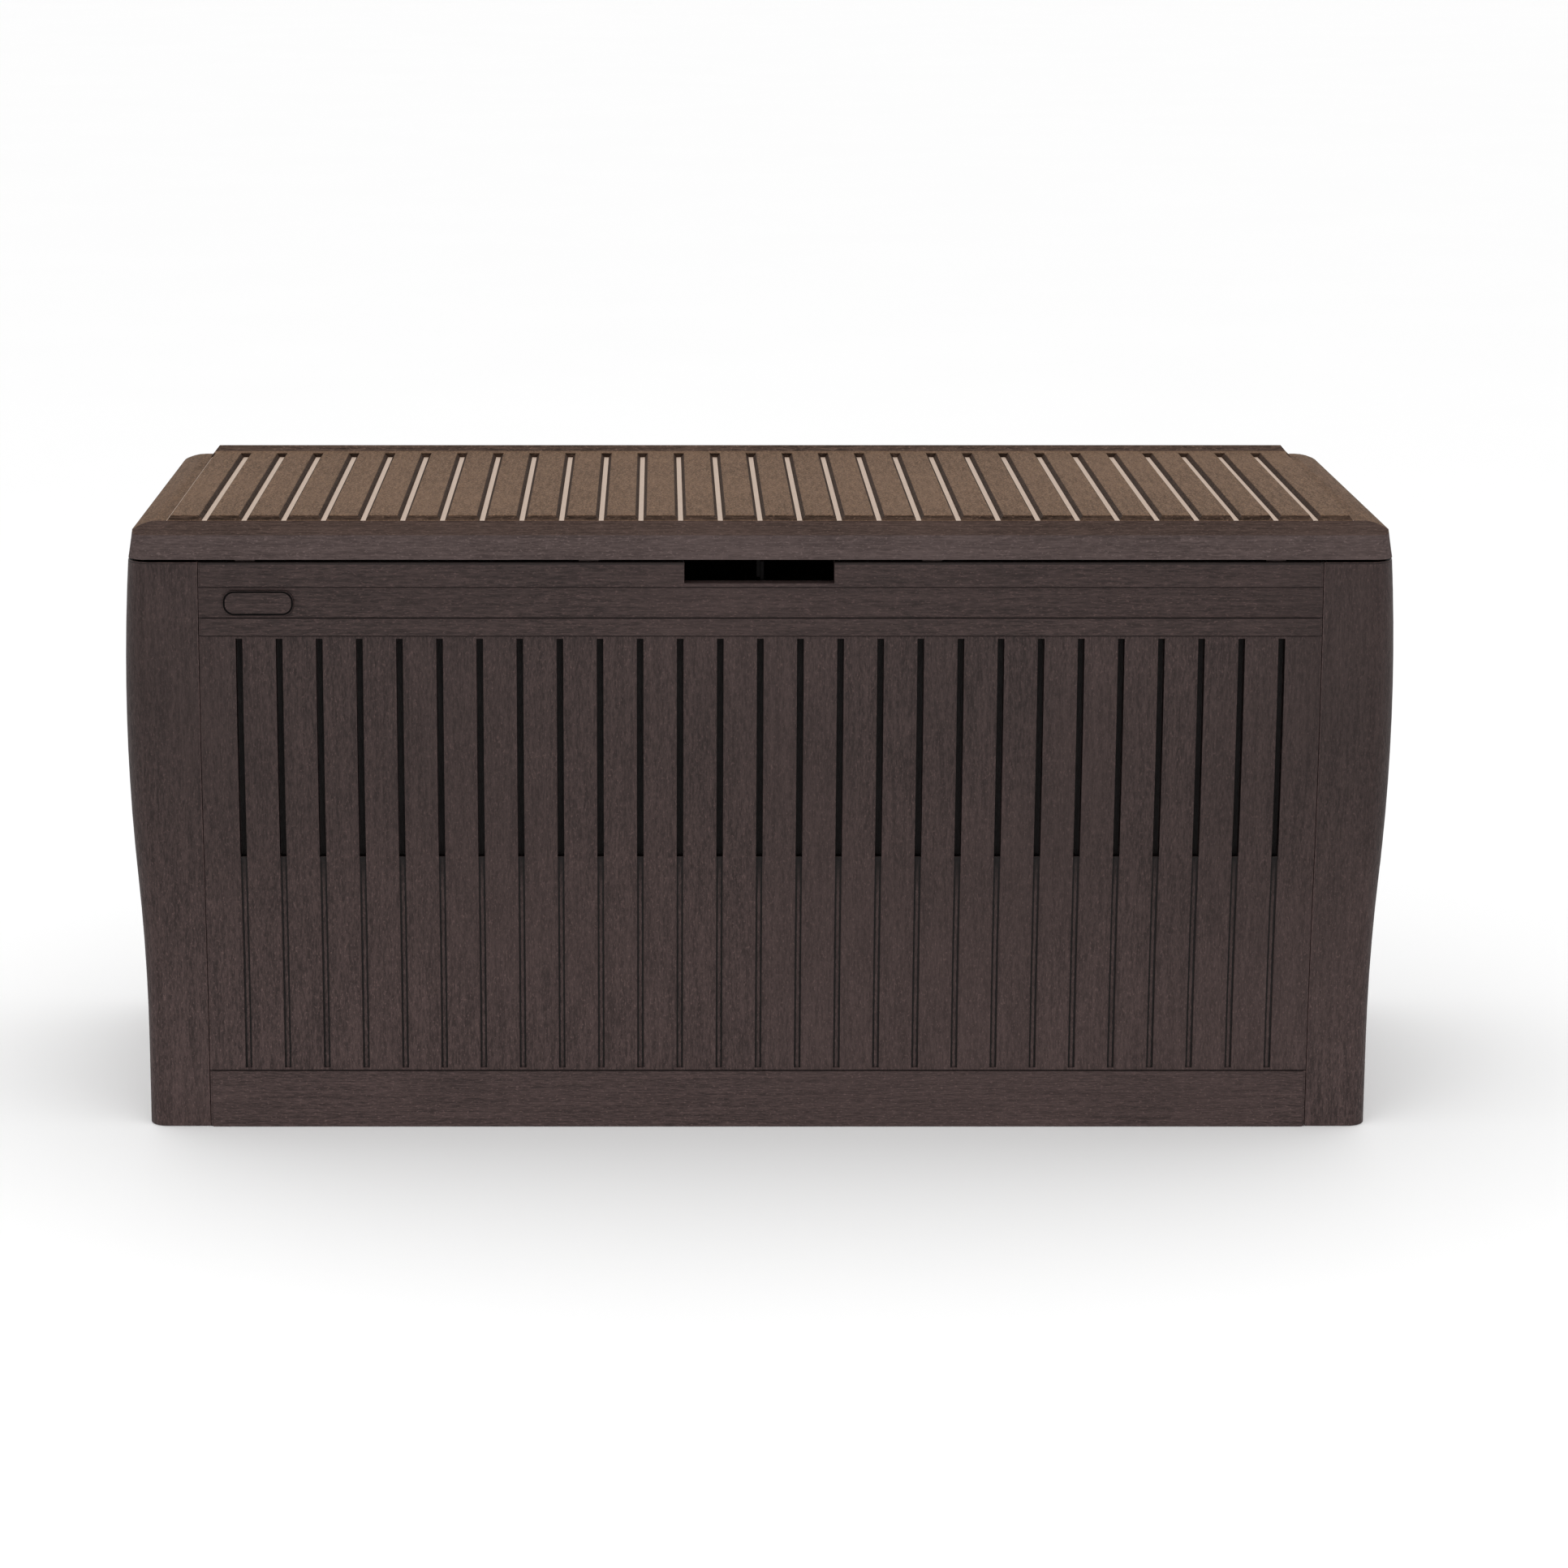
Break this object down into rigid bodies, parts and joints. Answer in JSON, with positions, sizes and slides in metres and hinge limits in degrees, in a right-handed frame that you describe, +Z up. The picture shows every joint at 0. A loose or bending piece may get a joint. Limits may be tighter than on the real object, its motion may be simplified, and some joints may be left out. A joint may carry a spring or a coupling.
{
  "type": "deck storage box",
  "caption": "Resin deck storage box with bulged, grooved walls and a hinged, slatted lid held open by two slotted stays.",
  "frame": {"origin": "on the ground, under the middle of the box", "axes": "+X to the right along the front, -Y is the front, +Z up"},
  "size_m": [1.167, 0.4472, 0.581],
  "materials": {
    "wall_resin": "brown wood-grain resin",
    "lid_resin": "brown fine-grained resin",
    "floor_resin": "satin resin",
    "plate_resin": "smooth resin",
    "dark_resin": "dark resin",
    "spring_steel": "dark coated steel",
    "steel": "zinc-plated steel"
  },
  "bodies": {
    "box": {"front_panel": "wall_resin", "back_panel": "wall_resin", "left_end_panel": "wall_resin", "right_end_panel": "wall_resin", "base_panel": "floor_resin", "blank_plate": "plate_resin", "box_lock_tab": "dark_resin", "corner_clips": "spring_steel", "box_hinge_brackets": "dark_resin", "hinge_pins": "steel", "stay_studs": "dark_resin", "stud_caps": "dark_resin"},
    "lid": {"lid_panel": "lid_resin", "lid_frame": "dark_resin", "front_lid_tube": "steel", "rear_lid_tube": "steel", "tube_saddles": "dark_resin", "tube_end_plugs": "dark_resin", "lid_lock_tab": "dark_resin", "lid_hinge_brackets": "dark_resin", "left_stay_bracket": "dark_resin", "right_stay_bracket": "dark_resin", "stay_rivets": "steel"},
    "left_stay": {"left_lid_stay": "spring_steel"},
    "right_stay": {"right_lid_stay": "spring_steel"}
  },
  "joints": [
    {"name": "lid_hinge", "type": "hinge", "parent": "box", "child": "lid", "pos_m": [0, 0.2165, 0.533], "axis": [-1, 0, 0], "range_deg": [0, 100]},
    {"name": "left_stay_pivot", "type": "hinge", "parent": "lid", "child": "left_stay", "pos_m": [-0.56, 0.0965, 0.521], "axis": [-1, 0, 0], "range_deg": [-50, 0]},
    {"name": "right_stay_pivot", "type": "hinge", "parent": "lid", "child": "right_stay", "pos_m": [0.56, 0.0965, 0.521], "axis": [-1, 0, 0], "range_deg": [-50, 0]}
  ],
  "couplings": [
    {"joint": "left_stay_pivot", "follows": "lid_hinge", "ratio": -0.5},
    {"joint": "right_stay_pivot", "follows": "lid_hinge", "ratio": -0.5}
  ]
}
